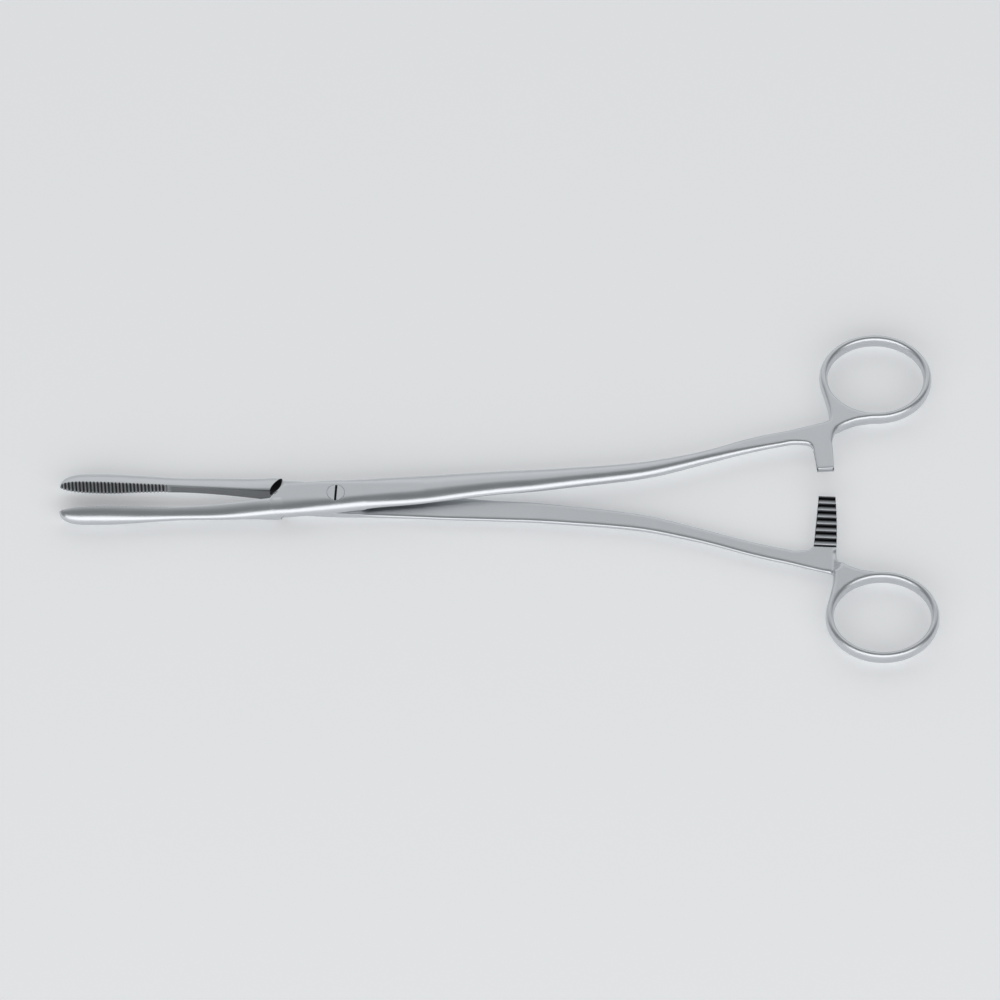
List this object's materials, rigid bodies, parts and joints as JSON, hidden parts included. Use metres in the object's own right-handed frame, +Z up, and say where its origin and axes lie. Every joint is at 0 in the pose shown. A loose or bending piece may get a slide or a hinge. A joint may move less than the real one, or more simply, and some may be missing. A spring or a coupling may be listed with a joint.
{
  "type": "sponge holding forceps",
  "caption": "Long stainless ring-handled forceps with a flush screwed lap joint, S-curved shanks, bowed serrated jaws and a ratchet lock.",
  "frame": {"origin": "on the surface the forceps lie on, under the middle of their length and width", "axes": "+X from the jaws to the finger rings, +Z up along the joint screw"},
  "size_m": [0.2486, 0.1084, 0.007],
  "materials": {
    "front_steel": "satin ground stainless, brighter along rounded edges",
    "back_steel": "satin ground stainless, matte ground flat on the sliding side",
    "screw_steel": "satin stainless, ground flush with the joint"
  },
  "bodies": {
    "back_half": {"back_arm": "back_steel", "pivot_screw": "screw_steel"},
    "front_half": {"front_arm": "front_steel"}
  },
  "joints": [
    {"name": "jaw_pivot", "type": "hinge", "parent": "back_half", "child": "front_half", "pos_m": [-0.04601, 0, 0.0035], "axis": [0, 0, 1], "range_deg": [-6, 54]}
  ]
}
